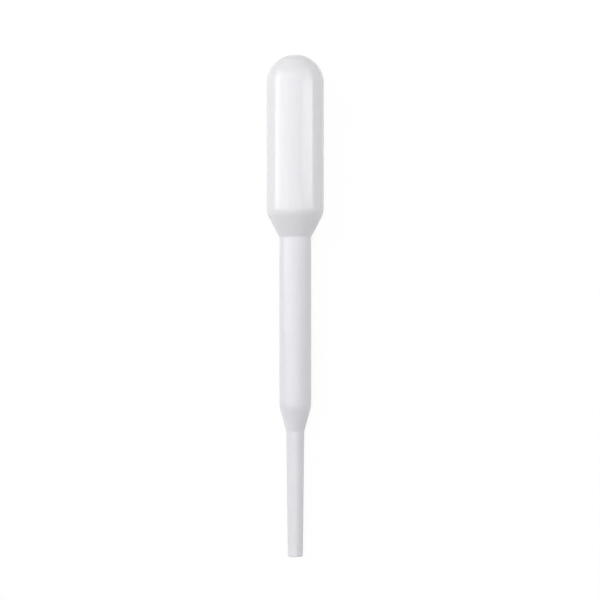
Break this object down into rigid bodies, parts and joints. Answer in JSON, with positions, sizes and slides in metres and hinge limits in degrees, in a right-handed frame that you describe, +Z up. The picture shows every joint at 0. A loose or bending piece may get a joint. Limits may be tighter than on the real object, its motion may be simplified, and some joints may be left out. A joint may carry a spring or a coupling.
{
  "type": "plastic dropper pipette",
  "caption": "One-piece squeeze pipette for drawing up and dropping liquid: a thin open tapered tip, a straight stem and a long domed bulb, blow-moulded in milky plastic.",
  "frame": {"origin": "on the surface the pipette lies on, under the middle of its bounding box", "axes": "+Y along the pipette's length as it lies, from the mouth of the tip towards the bulb; +X across it, along the plane where the mould closed; +Z up. The pipette's own axis slopes down towards the tip by 3.45 degrees, because it rests on the lip of the tip and on the thicker bulb"},
  "size_m": [0.017, 0.1498, 0.0191],
  "materials": {
    "milky_polyethylene": "natural low-density polyethylene, milky and slightly see-through, with the soft gloss of a blow mould"
  },
  "bodies": {
    "root": {"pipette_body": "milky_polyethylene"}
  },
  "joints": []
}
